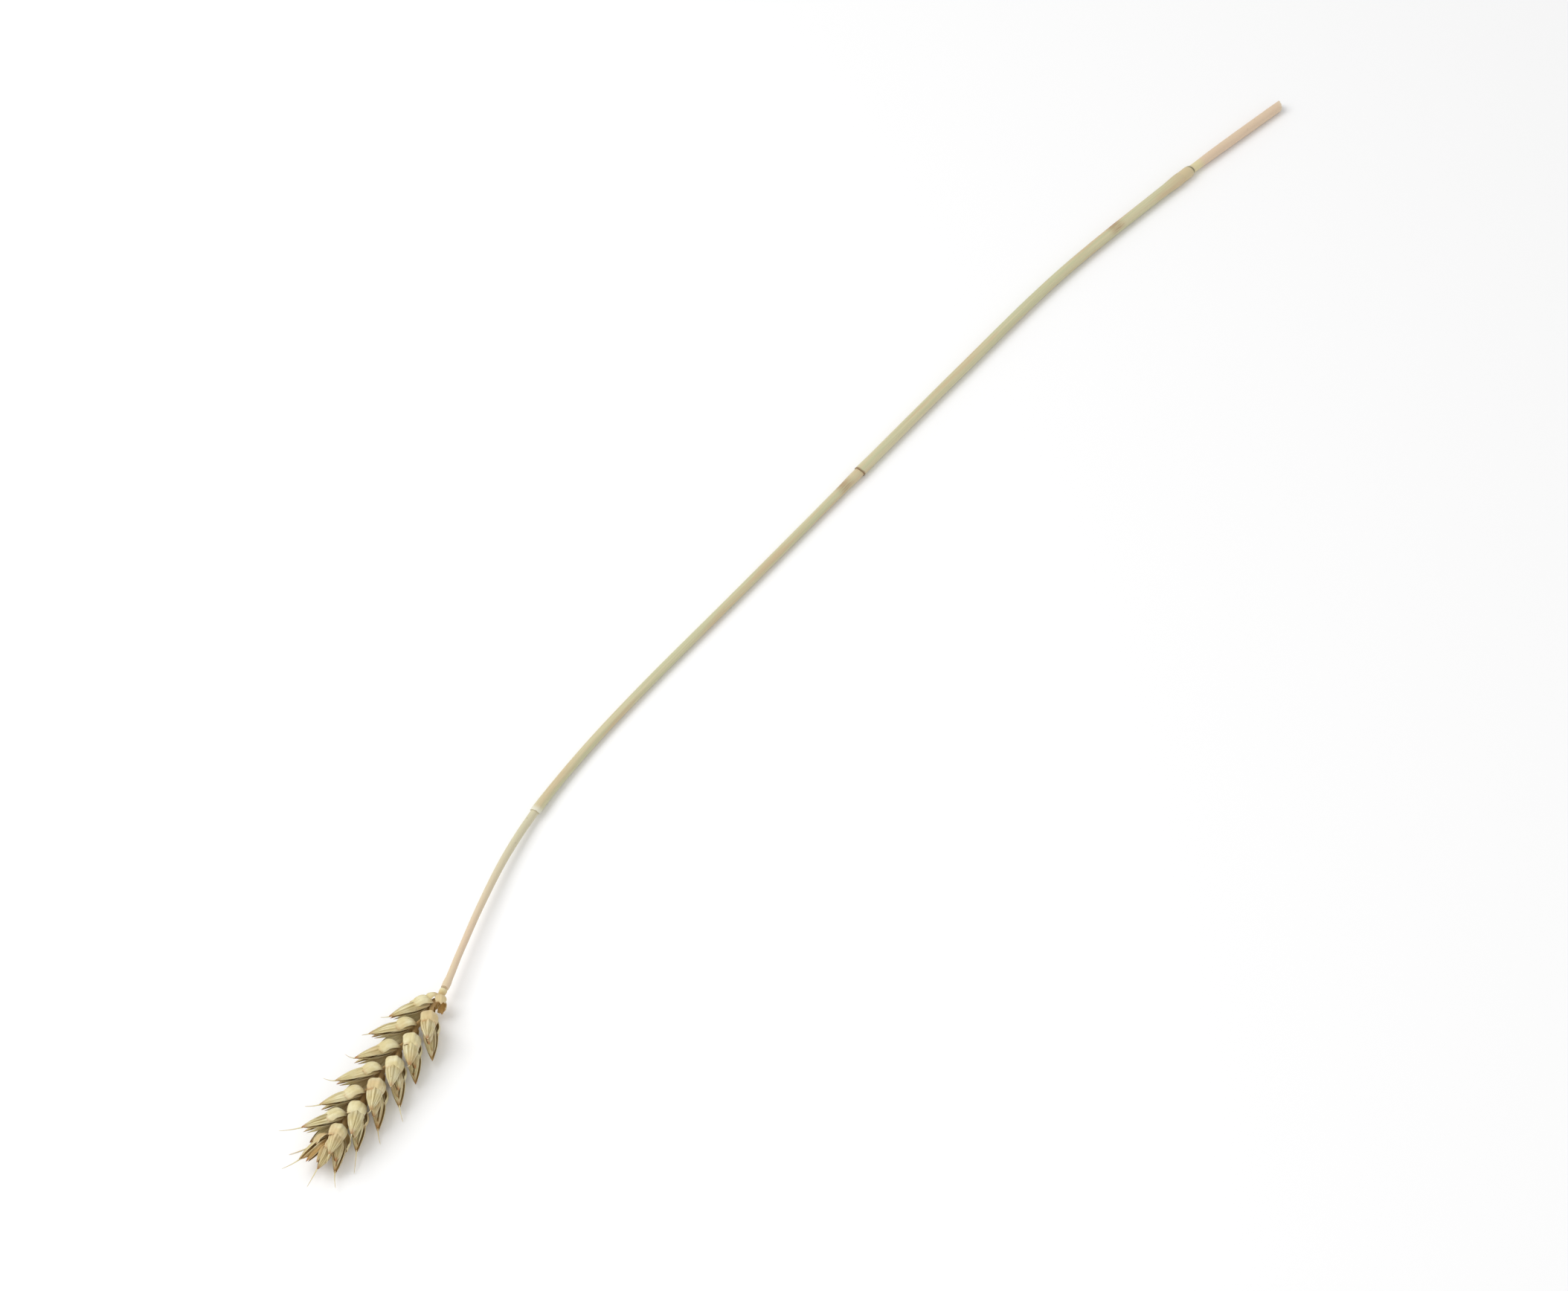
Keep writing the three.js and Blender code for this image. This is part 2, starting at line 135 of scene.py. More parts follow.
@dataclass
class GrowthLine:
    """The curve that ear and straw follow, in millimetres, tip of the ear first."""

    points: tuple[Place, ...] = (
        (-94, -14.6, 6.0), (-68, -11.2, 6.2), (-42, -7.6, 6.3), (-18, -3.6, 6.2), (0, 0, 6.0),
        (18, 7.2, 5.6), (39, 15.6, 4.9), (63, 24.0, 3.8), (88, 30.2, 2.5), (118, 34.4, 1.9),
        (154, 37.0, 1.78), (214, 39.2, 1.78), (292, 42.2, 1.85), (360, 44.6, 2.02),
        (430, 46.0, 2.1), (500, 41.6, 2.2), (520, 39.8, 2.25), (576, 33.4, 2.1),
    )
    foot_index: int = 4
    steps_between: int = 200
    foot: Vector = field(default_factory=lambda: Vector((0.0, 0.0, 0.0)))
    dense: list[Vector] = field(init=False)
    lengths: list[float] = field(init=False)

    def __post_init__(self) -> None:
        """Works out the dense points of the curve and their distances from its start."""
        stops = [Vector(point) for point in self.points]
        ends = [2 * stops[0] - stops[1], *stops, 2 * stops[-1] - stops[-2]]
        self.dense = []
        for i in range(len(stops) - 1):
            self.dense += self._stretch(*ends[i:i + 4])
        self.dense.append(stops[-1])
        self.lengths = [0.0]
        for start, end in zip(self.dense, self.dense[1:]):
            self.lengths.append(self.lengths[-1] + (end - start).length)
        foot = self.lengths[self.foot_index * self.steps_between]
        self.lengths = [length - foot for length in self.lengths]

    def _stretch(self, before: Vector, start: Vector, end: Vector, after: Vector) -> list[Vector]:
        """One stretch of the centripetal curve.

        Args:
            before: The stop before the stretch.
            start: The stop where it starts.
            end: The stop where it ends.
            after: The stop after it.

        Returns:
            Its points, without the last.
        """
        gaps = [max((b - a).length, 1e-6) ** 0.5
                for a, b in ((before, start), (start, end), (end, after))]
        leave = ((start - before) / gaps[0] - (end - before) / (gaps[0] + gaps[1])
                 + (end - start) / gaps[1]) * gaps[1]
        arrive = ((end - start) / gaps[1] - (after - start) / (gaps[1] + gaps[2])
                  + (after - end) / gaps[2]) * gaps[1]
        square = -3 * start + 3 * end - 2 * leave - arrive
        cube = 2 * start - 2 * end + leave + arrive
        shares = [step / self.steps_between for step in range(self.steps_between)]
        return [start + leave * w + square * w * w + cube * w ** 3 for w in shares]

    def at(self, distance: float) -> LinePlace:
        """The place at a distance in millimetres from the foot of the ear.

        Args:
            distance: Positive towards the cut end, negative into the ear.

        Returns:
            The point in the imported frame, in millimetres, and its three directions.
        """
        low = min(max(bisect_right(self.lengths, distance) - 1, 0), len(self.lengths) - 2)
        start, end = self.dense[low], self.dense[low + 1]
        share = (distance - self.lengths[low]) / (self.lengths[low + 1] - self.lengths[low])
        before = self.dense[max(low - 1, 0)]
        after = self.dense[min(low + 2, len(self.dense) - 1)]
        along = (end - before).normalized().lerp((after - start).normalized(), share).normalized()
        side = Vector((0, 0, 1)).cross(along).normalized()
        point = start.lerp(end, share) + self.foot
        return LinePlace(point, along, side, along.cross(side))

    def settle(self, straw: Profile, solid: tuple[Vector, Vector]) -> None:
        """Moves the line to where the solid straw lies in the frame.

        Args:
            straw: The straw's radius along the line.
            solid: The box of the solid straw, in metres.
        """
        first = self.at(straw[0][0])
        near = first.point.x - straw[0][1] * math.sqrt(1.0 - first.along.x ** 2)
        stops = range(int(straw[0][0]) + 1, int(straw[-1][0]), 4)
        rings = [(self.at(stop), read(straw, stop)) for stop in stops]
        far = max(ring.point.y + radius * math.sqrt(1.0 - ring.along.y ** 2)
                  for ring, radius in rings)
        self.foot = Vector((solid[0][0] / MM - near, solid[1][1] / MM - far, 0.0))


class Sock:
    """A shader value that can be used in plain sums."""

    def __init__(self, kit: "ShaderKit", socket: bpy.types.NodeSocket) -> None:
        """Wraps an output socket."""
        self.kit = kit
        self.socket = socket

    def _math(self, operation: str, *values: Union["Sock", Number]) -> "Sock":
        """One Math node on these values."""
        return self.kit.node("ShaderNodeMath", {"operation": operation}, dict(enumerate(values)))

    def __add__(self, other: Union["Sock", Number]) -> "Sock":
        """Sum."""
        return self._math("ADD", self, other)

    def __radd__(self, other: Number) -> "Sock":
        """Sum with a number first."""
        return self._math("ADD", other, self)

    def __sub__(self, other: Union["Sock", Number]) -> "Sock":
        """Difference."""
        return self._math("SUBTRACT", self, other)

    def __rsub__(self, other: Number) -> "Sock":
        """Difference with a number first."""
        return self._math("SUBTRACT", other, self)

    def __mul__(self, other: Union["Sock", Number]) -> "Sock":
        """Product."""
        return self._math("MULTIPLY", self, other)

    def __rmul__(self, other: Number) -> "Sock":
        """Product with a number first."""
        return self._math("MULTIPLY", other, self)

    def __pow__(self, power: Number) -> "Sock":
        """Power."""
        return self._math("POWER", self, power)

    def sine(self) -> "Sock":
        """Sine of the value."""
        return self._math("SINE", self)

    def size(self) -> "Sock":
        """The value without its sign."""
        return self._math("ABSOLUTE", self)

    def rise(self, low: Number, high: Number) -> "Sock":
        """A smooth step of the value.

        Args:
            low: Where it is 0.
            high: Where it is 1. Below low, it turns the step round.

        Returns:
            The step, from 0 to 1.
        """
        settings = {"interpolation_type": "SMOOTHSTEP"}
        values = {0: self, 1: low, 2: high, 3: 0.0, 4: 1.0}
        if low > high:
            values = {0: self, 1: high, 2: low, 3: 1.0, 4: 0.0}
        return self.kit.node("ShaderNodeMapRange", settings, values)


class ShaderKit:
    """Builds one material's nodes."""

    def __init__(self, name: str) -> None:
        """Starts an empty material with its surface shader.

        Args:
            name: The material's name.
        """
        self.material = bpy.data.materials.new(name)
        self.material.use_nodes = True
        self.tree = self.material.node_tree
        self.tree.nodes.clear()
        self.surface = self.tree.nodes.new("ShaderNodeBsdfPrincipled")
        end = self.tree.nodes.new("ShaderNodeOutputMaterial")
        self.tree.links.new(self.surface.outputs["BSDF"], end.inputs["Surface"])

    def node(self, kind: str, settings: dict, values: dict, output: Union[int, str] = 0) -> Sock:
        """Adds one node.

        Args:
            kind: The node's type.
            settings: Its own settings, set first.
            values: A number, colour or Sock for each input, by its name or place.
            output: The output to return.

        Returns:
            The output, ready for sums.
        """
        made = self.tree.nodes.new(kind)
        for key, value in settings.items():
            setattr(made, key, value)
        for key, value in values.items():
            if isinstance(value, Sock):
                self.tree.links.new(value.socket, made.inputs[key])
            else:
                made.inputs[key].default_value = value
        return Sock(self, made.outputs[output])

    def attribute(self, name: str) -> Sock:
        """A value that the mesh carries at its points."""
        return self.node("ShaderNodeAttribute", {"attribute_name": name}, {}, "Fac")

    def place(self) -> Sock:
        """The surface's own place on the object."""
        return self.node("ShaderNodeTexCoord", {}, {}, "Object")

    def vector(self, x: Union[Sock, Number], y: Union[Sock, Number], z: Union[Sock, Number]) -> Sock:
        """A vector of three values."""
        return self.node("ShaderNodeCombineXYZ", {}, {0: x, 1: y, 2: z})

    def cloud(self, where: Sock, scale: Number, detail: Number = 3.0, rough: Number = 0.55) -> Sock:
        """A soft random pattern from 0 to 1."""
        values = {"Vector": where, "Scale": scale, "Detail": detail, "Roughness": rough}
        return self.node("ShaderNodeTexNoise", {"noise_dimensions": "3D"}, values, 0)

    def blend(self, share: Union[Sock, Number], low: Union[Sock, tuple],
              high: Union[Sock, tuple]) -> Sock:
        """Two colours mixed by a share."""
        settings = {"data_type": "RGBA", "clamp_factor": True}
        return self.node("ShaderNodeMix", settings, {0: share, 6: low, 7: high}, 2)

    def bump(self, height: Sock, distance: Number, strength: Number) -> Sock:
        """A surface direction from a height."""
        values = {"Strength": strength, "Distance": distance, "Height": height}
        return self.node("ShaderNodeBump", {}, values)

    def finish(self, colour: Sock, roughness: Sock, normal: Sock, gloss: float,
               sheen: float = 0.0) -> bpy.types.Material:
        """Joins the parts of a finish to the surface shader.

        Args:
            colour: The base colour.
            roughness: The roughness.
            normal: The bumped surface direction.
            gloss: The specular level.
            sheen: How much soft sheen the surface has.

        Returns:
            The finished material.
        """
        self.surface.inputs["Specular IOR Level"].default_value = gloss
        self.surface.inputs["Sheen Weight"].default_value = sheen
        self.surface.inputs["Sheen Roughness"].default_value = 0.5
        for name, value in (("Base Color", colour), ("Roughness", roughness), ("Normal", normal)):
            self.tree.links.new(value.socket, self.surface.inputs[name])
        return self.material


@dataclass(frozen=True)
class HuskFinish:
    """Dry papery husk: cream with olive nerves and brown tips, with painted golden-brown shade in
    the gaps of the head and painted golden shade and through-light on the husks' inner faces.
    """

    cream: tuple = srgb(218, 205, 154)
    pale: tuple = srgb(230, 222, 182)
    tan: tuple = srgb(210, 182, 132)
    edge: tuple = srgb(234, 224, 182)
    nerve: tuple = srgb(150, 130, 76)
    hollow: tuple = srgb(214, 172, 92)
    painted_shade_colour: tuple = srgb(176, 130, 60)
    tip: tuple = srgb(164, 98, 42)
    fleck: tuple = srgb(132, 104, 66)
    nerves: float = 21.0

    def make(self) -> bpy.types.Material:
        """Builds the material.

        Returns:
            The finished material.
        """
        kit = ShaderKit("husk")
        along, across = kit.attribute("along"), kit.attribute("across")
        tone, inside = kit.attribute("tone"), kit.attribute("inside")
        sunk, striped = kit.attribute("sunk"), kit.attribute("striped")
        place = kit.place()
        patch = kit.cloud(place, 260.0, 2.0)
        drift = kit.cloud(place, 85.0, 2.0)
        fibre = kit.cloud(kit.vector(across * 7.0, along * 0.9, tone * 9.0), 4.0, 5.0, 0.7)
        broad = kit.cloud(kit.vector(across * 2.2, along * 0.6, tone * 13.0), 2.5, 2.0)
        wander = (patch - 0.5) * 2.2 + (fibre - 0.5) * 1.6
        rib = ((across * self.nerves + wander).sine() * 0.5 + 0.5) ** 2.0
        colour = kit.blend(patch.rise(0.36, 0.66), self.cream, self.pale)
        colour = kit.blend((drift + tone * 0.12).rise(0.5, 0.74) * 0.7, colour, self.tan)
        shade = (rib * 0.5 + broad.rise(0.4, 0.62) * 0.7) * striped * along.rise(0.0, 0.25)
        colour = kit.blend(shade * (0.42 + tone * 0.55), colour, self.nerve)
        colour = kit.blend(fibre.rise(0.48, 0.78) * 0.3, colour, self.tan)
        # painted shade: the husks darken to golden brown near the middle of the head, where shade
        # falls in the gaps between them
        colour = kit.blend(sunk * 0.7, colour, self.painted_shade_colour)
        # painted shade and through-light: the husks' inner faces are tinted golden for the warm
        # shade and the light shining through the thin husk inside its hollow
        colour = kit.blend(inside * 0.6, colour, self.hollow)
        margin = across.size().rise(0.84, 0.97)
        colour = kit.blend(margin * 0.6, colour, self.edge)
        ends = (along + (fibre - 0.5) * 0.2).rise(0.82, 0.98) * (0.35 + tone * 0.6)
        colour = kit.blend(ends * (0.3 + striped * 0.7), colour, self.tip)
        flecks = kit.cloud(place, 1500.0, 1.0).rise(0.73, 0.78) * 0.4
        colour = kit.blend(flecks, colour, self.fleck)
        height = rib * 0.5 + fibre * 0.9
        rough = 0.5 + fibre * 0.3
        return kit.finish(colour, rough, kit.bump(height, 0.0001, 0.7), 0.3, 0.1)


@dataclass(frozen=True)
class StrawFinish:
    """Smooth bare straw, tan to pink, greener near the sheath, with specks, a tan joint and a
    painted dark-green shade in the crease beside the joint.
    """

    tan: tuple = srgb(216, 198, 164)
    pink: tuple = srgb(222, 196, 168)
    green: tuple = srgb(204, 200, 168)
    pale: tuple = srgb(228, 218, 194)
    speck: tuple = srgb(124, 118, 104)
    joint: tuple = srgb(206, 190, 148)
    crease_shade: tuple = srgb(98, 104, 62)
    neck: tuple = srgb(222, 212, 164)
    joint_from: float = 509.0
    crease_at: float = 517.6
    neck_end: float = 526.0
    end: float = 574.0

    def make(self) -> bpy.types.Material:
        """Builds the material.

        Returns:
            The finished material.
        """
        kit = ShaderKit("straw")
        along, inside = kit.attribute("along"), kit.attribute("inside")
        sine, cosine = kit.attribute("sine"), kit.attribute("cosine")
        fibre = kit.cloud(kit.vector(sine * 1.6, cosine * 1.6, along * 0.02), 7.0, 5.0, 0.7)
        streak = kit.cloud(kit.vector(sine, cosine, along * 0.008), 2.2, 2.0)
        colour = kit.blend(streak.rise(0.35, 0.65), self.tan, self.pink)
        greened = along.rise(18.0, 80.0) * along.rise(140.0, 96.0)
        colour = kit.blend(greened * 0.8, colour, self.green)
        colour = kit.blend(along.rise(self.crease_at, 528.0) * 0.7, colour, self.pink)
        colour = kit.blend(fibre.rise(0.5, 0.75) * 0.6, colour, self.pale)
        jointed = along.rise(self.joint_from - 2.0, self.joint_from) * along.rise(519.0, 517.0)
        upper = along.rise(286.0, 292.0) * along.rise(306.0, 302.0)
        colour = kit.blend((jointed + upper) * 0.8, colour, self.joint)
        neck = along.rise(self.crease_at, 519.5) * along.rise(self.neck_end, 521.5)
        colour = kit.blend(neck * 0.85, colour, self.neck)
        # painted shade: a narrow dark-green crescent in the crease where the swollen joint meets the
        # narrow neck, heavier on one side of the straw
        wobble = (streak - 0.5) * 0.3 + (cosine * 0.5)
        near = ((along + wobble) - self.crease_at).size().rise(0.75, 0.15)
        upward = (sine - cosine * 0.5).rise(-0.1, 1.0)
        colour = kit.blend(near * (0.08 + upward * 0.8), colour, self.crease_shade)
        dots = kit.cloud(kit.place(), 900.0, 1.0).rise(0.755, 0.79)
        dots_near = 0.25 + along.rise(60.0, 84.0) * along.rise(96.0, 92.0) * 0.75
        colour = kit.blend(dots * dots_near * 0.8, colour, self.speck)
        colour = kit.blend(along.rise(self.end - 2.0, self.end + 0.5) * 0.6, colour, self.pale)
        colour = kit.blend(inside * 0.7, colour, self.tan)
        height = fibre + dots * 0.2
        rough = 0.36 + fibre * 0.25
        return kit.finish(colour, rough, kit.bump(height, 0.00012, 0.8), 0.45)


@dataclass(frozen=True)
class SheathFinish:
    """Dry leaf sheath: beige with soft green and tan streaks, a pale rim and a brown stain."""

    name: str
    mouth: float
    base: float
    stain_at: float
    rim_brown: float
    rim_pale: float
    beige: tuple = srgb(210, 201, 164)
    green: tuple = srgb(197, 196, 158)
    tan: tuple = srgb(208, 185, 148)
    pale: tuple = srgb(232, 230, 212)
    rib: tuple = srgb(176, 166, 122)
    stain: tuple = srgb(160, 122, 86)
    edge: tuple = srgb(118, 82, 48)
    ribs: float = 27.0

    def make(self) -> bpy.types.Material:
        """Builds the material.

        Returns:
            The finished material.
        """
        kit = ShaderKit(self.name)
        along, turn = kit.attribute("along"), kit.attribute("turn")
        inside = kit.attribute("inside")
        sine, cosine = turn.sine(), (turn + math.pi / 2).sine()
        streak = kit.cloud(kit.vector(sine, cosine, along * 0.006), 2.6, 3.0)
        slow = kit.cloud(kit.vector(sine * 0.5, cosine * 0.5, along * 0.014), 1.7)
        fibre = kit.cloud(kit.vector(sine * 5.0, cosine * 5.0, along * 0.03), 4.0, 4.0, 0.7)
        colour = kit.blend(streak.rise(0.38, 0.6), self.beige, self.green)
        colour = kit.blend(slow.rise(0.46, 0.64) * 0.8, colour, self.tan)
        rib = ((turn * self.ribs + (streak - 0.5) * 5.0).sine() * 0.5 + 0.5) ** 2.0
        shade = rib * slow.rise(0.3, 0.7) * 0.2 + fibre.rise(0.5, 0.8) * 0.4
        colour = kit.blend(shade, colour, self.rib)
        near_rim = along.rise(self.mouth + 2.6, self.mouth + 0.2)
        colour = kit.blend(near_rim * self.rim_pale, colour, self.pale)
        brown = along.rise(self.mouth + 1.0, self.mouth + 0.1) * self.rim_brown
        colour = kit.blend(brown, colour, self.edge)
        blot = (along - self.stain_at).size().rise(6.0, 0.5) * (sine + 0.15).rise(0.1, 0.8)
        colour = kit.blend(blot * (fibre + slow * 0.4).rise(0.5, 0.8) * 0.85, colour, self.stain)
        colour = kit.blend(along.rise(self.base - 12.0, self.base) * 0.5, colour, self.tan)
        dots = kit.cloud(kit.place(), 700.0, 1.0).rise(0.765, 0.795)
        colour = kit.blend(dots * 0.4, colour, self.stain)
        colour = kit.blend(inside * 0.5, colour, self.tan)
        height = rib * 0.25 + fibre * 0.5
        rough = 0.38 + fibre * 0.25
        return kit.finish(colour, rough, kit.bump(height, 0.00014, 0.8), 0.45)


Layers = dict[str, bmesh.types.BMLayerItem]


def flat_sheet(rows: int, columns: int) -> bpy.types.Mesh:
    """A flat closed sheet to stamp: x from -1 to 1 along it, y across it, z by its side.

    Args:
        rows: Its faces along.
        columns: Its faces across.

    Returns:
        The sheet's mesh.
    """
    bm = bmesh.new()
    bmesh.ops.create_grid(bm, x_segments=rows, y_segments=columns, size=1.0)
    bmesh.ops.solidify(bm, geom=bm.faces[:], thickness=1.0)
    mesh = bpy.data.meshes.new("flat_sheet")
    bm.to_mesh(mesh)
    bm.free()
    return mesh


def round_rod(around: int, rings: int) -> bpy.types.Mesh:
    """A ball to stamp as a slim rod with two closed ends, z from -1 to 1 along it.

    Args:
        around: Its faces around.
        rings: Its faces along.

    Returns:
        The rod's mesh.
    """
    bm = bmesh.new()
    bmesh.ops.create_uvsphere(bm, u_segments=around, v_segments=rings, radius=1.0)
    mesh = bpy.data.meshes.new("round_rod")
    bm.to_mesh(mesh)
    bm.free()
    return mesh


def on_rod(vert: bmesh.types.BMVert) -> tuple[float, float, float]:
    """Where a point of a stamped rod lies.

    Args:
        vert: The point, still as stamped.

    Returns:
        Its share along, its turn, and its body: 0 at either end, else 1.
    """
    share = 1.0 - math.acos(clamp(vert.co.z, -1.0, 1.0)) / math.pi
    body = 0.0 if share < 1e-3 or share > 1.0 - 1e-3 else 1.0
    return share, math.atan2(vert.co.y, vert.co.x), body


class Mould:
    """A mesh in the making, with the values that its finish reads at its points."""

    names = ("along", "across", "turn", "sine", "cosine", "tone", "inside", "sunk", "striped")

    def __init__(self) -> None:
        """Starts an empty mesh."""
        self.bm = bmesh.new()
        self.layers: Layers = {name: self.bm.verts.layers.float.new(name) for name in self.names}

    def note(self, vert: bmesh.types.BMVert, **values: float) -> None:
        """Keeps values at a point for the finish."""
        for name, value in values.items():
            vert[self.layers[name]] = value

    def stamp(self, shape: bpy.types.Mesh) -> list[bmesh.types.BMVert]:
        """Adds a copy of a shape.

        Args:
            shape: The shape to add.

        Returns:
            The new points.
        """
        before = len(self.bm.verts)
        self.bm.from_mesh(shape)
        self.layers = {name: self.bm.verts.layers.float[name] for name in self.names}
        self.bm.verts.ensure_lookup_table()
        return self.bm.verts[before:]

    def release(self, name: str, material: bpy.types.Material, slot: str,
                sharp: float, *nodes: str) -> bpy.types.Object:
        """Makes the object, gives it its finish and puts it in its node's place.

        Args:
            name: The piece's name.
            material: Its finish.
            slot: The record's material slot; not used.
            sharp: The angle in degrees past which an edge is shaded hard.
            nodes: The solid's nodes that the piece stands for.

        Returns:
            The finished object.
        """
        bmesh.ops.remove_doubles(self.bm, verts=self.bm.verts, dist=SAME_POINT)
        bmesh.ops.recalc_face_normals(self.bm, faces=self.bm.faces)
        mesh = bpy.data.meshes.new(name)
        self.bm.to_mesh(mesh)
        self.bm.free()
        mesh.polygons.foreach_set("use_smooth", [True] * len(mesh.polygons))
        mesh.set_sharp_from_angle(angle=math.radians(sharp))
        mesh.materials.append(material)
        made = bpy.data.objects.new(name, mesh)
        bpy.context.scene.collection.objects.link(made)
        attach(made, "root")
        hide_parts(*nodes)
        LOG.info("%s: %d faces", name, len(mesh.polygons))
        return made


class Husk(Enum):
    """The kinds of husk in a spikelet."""

    GLUME = "glume"
    LEMMA = "lemma"
    INNER = "inner"
    PALEA = "palea"
    BRACT = "bract"


@dataclass(frozen=True)
class HuskForm:
    """Sizes of one kind of husk in millimetres and the rules of its outline."""

    length: float
    width: float
    depth: float
    keel: float
    bow: float
    curl: float
    swell: float = 0.8
    full: float = 0.85
    hooded: bool = False
    shoulder: float = 0.0
    wrap: float = 1.0
    gape: float = 0.0
    striped: float = 1.0
    rows: int = 18
    columns: int = 22

    def spread(self, t: float) -> float:
        """How wide the husk is.

        Args:
            t: The share of its length.

        Returns:
            The width against its half width.
        """
        if self.hooded:
            rise = math.sin(math.pi / 2 * min(1.0, t / 0.42))
            return rise ** 0.55 * mix(1.0, 0.84, smooth(0.55, 1.0, t))
        return math.sin(math.pi * t ** self.swell) ** self.full if 0.0 < t < 1.0 else 0.0

    def height(self, t: float) -> float:
        """How high its back stands.

        Args:
            t: The share of its length.

        Returns:
            The height against its depth.
        """
        if self.hooded:
            rise = math.sin(math.pi / 2 * min(1.0, t / 0.4))
            return rise ** 0.65 * mix(1.0, 0.84, smooth(0.6, 1.0, t))
        return self.spread(t)

    def lift(self, t: float, turn: float, thin: float, beak: float) -> float:
        """How far a point stands out from the husk's straight axis.

        Args:
            t: The share of the husk's length.
            turn: The angle round the husk from its keel.
            thin: How far the point lies inside the outer face.
            beak: How near the keel it is, from 0 to 1.

        Returns:
            The distance in millimetres.
        """
        height = self.height(t)
        raised = (self.depth - thin) * height * math.cos(turn) + self.keel * height * beak
        raised += self.gape * smooth(0.7, 1.0, t) * (1.0 - 2.6 * beak)
        return raised + self.bow * math.sin(math.pi * t) + self.curl * t ** 3

    def short(self, v: float, beak: float) -> float:
        """How far its end falls short at a place across it, as a share of its length."""
        return self.shoulder * (1.0 - beak) + 0.9 * self.shoulder * abs(v) ** 5


FORMS: dict[Husk, HuskForm] = {
    Husk.GLUME: HuskForm(9.8, 3.2, 1.95, 0.4, 1.35, -1.2, hooded=True, shoulder=0.13, wrap=1.06,
                         gape=1.2, striped=0.2, rows=18, columns=28),
    Husk.LEMMA: HuskForm(16.8, 2.7, 1.8, 0.4, 0.7, 0.2, swell=0.7, full=0.85, rows=22),
    Husk.INNER: HuskForm(13.4, 2.2, 1.5, 0.3, 0.3, 0.6, swell=0.78, full=0.85, columns=18),
    Husk.PALEA: HuskForm(14.6, 2.45, 1.15, 0.0, 0.2, 0.1, swell=0.7, full=0.85, wrap=0.95,
                         striped=0.6, rows=14, columns=12),
    Husk.BRACT: HuskForm(6.6, 2.1, 1.1, 0.2, 0.8, -0.2, hooded=True, shoulder=0.16,
                         gape=0.2, striped=0.2, rows=14, columns=18),
}


@dataclass(frozen=True)
class Seat:
    """Where a husk stands in its spikelet."""

    kind: Husk
    up: float
    hand: int
    fanned: float
    outwards: float
    size: float


FULL_SPIKELET = (
    Seat(Husk.GLUME, 0.2, 1, 17, 0.5, 1.0),
    Seat(Husk.GLUME, 0.2, -1, 17, 0.5, 1.0),
    Seat(Husk.LEMMA, 1.4, 1, 15, 0.25, 1.0),
    Seat(Husk.LEMMA, 2.0, -1, 14, 0.25, 0.97),
    Seat(Husk.INNER, 3.4, 1, 5, 1.6, 1.0),
    Seat(Husk.INNER, 4.4, -1, 7, 1.0, 0.86),
)
STUNTED_SPIKELET = (
    Seat(Husk.BRACT, 0.0, 1, 14, 0.5, 1.0),
    Seat(Husk.BRACT, 0.4, -1, 14, 0.5, 0.9),
)


@dataclass
class GrownHusk:
    """A placed husk's tip and directions, for what grows on it."""

    kind: Husk
    root: Vector
    tip: Vector
    axis: Vector
    outward: Vector
    scale: float


@dataclass
class Lean:
    """The directions of a spikelet: its axis, away from the head, and the way it fans."""

    axis: Vector
    outward: Vector
    fan: Vector

    @staticmethod
    def of(growth: Vector, sideways: Vector, face: Vector, angle: float) -> "Lean":
        """A spikelet that leans away from the growth line.

        Args:
            growth: The way the head grows.
            sideways: The way the spikelet leans.
            face: The way it fans.
            angle: How far it leans, in radians.

        Returns:
            Its directions.
        """
        axis = growth * math.cos(angle) + sideways * math.sin(angle)
        outward = sideways * math.cos(angle) - growth * math.sin(angle)
        return Lean(axis, outward, face)


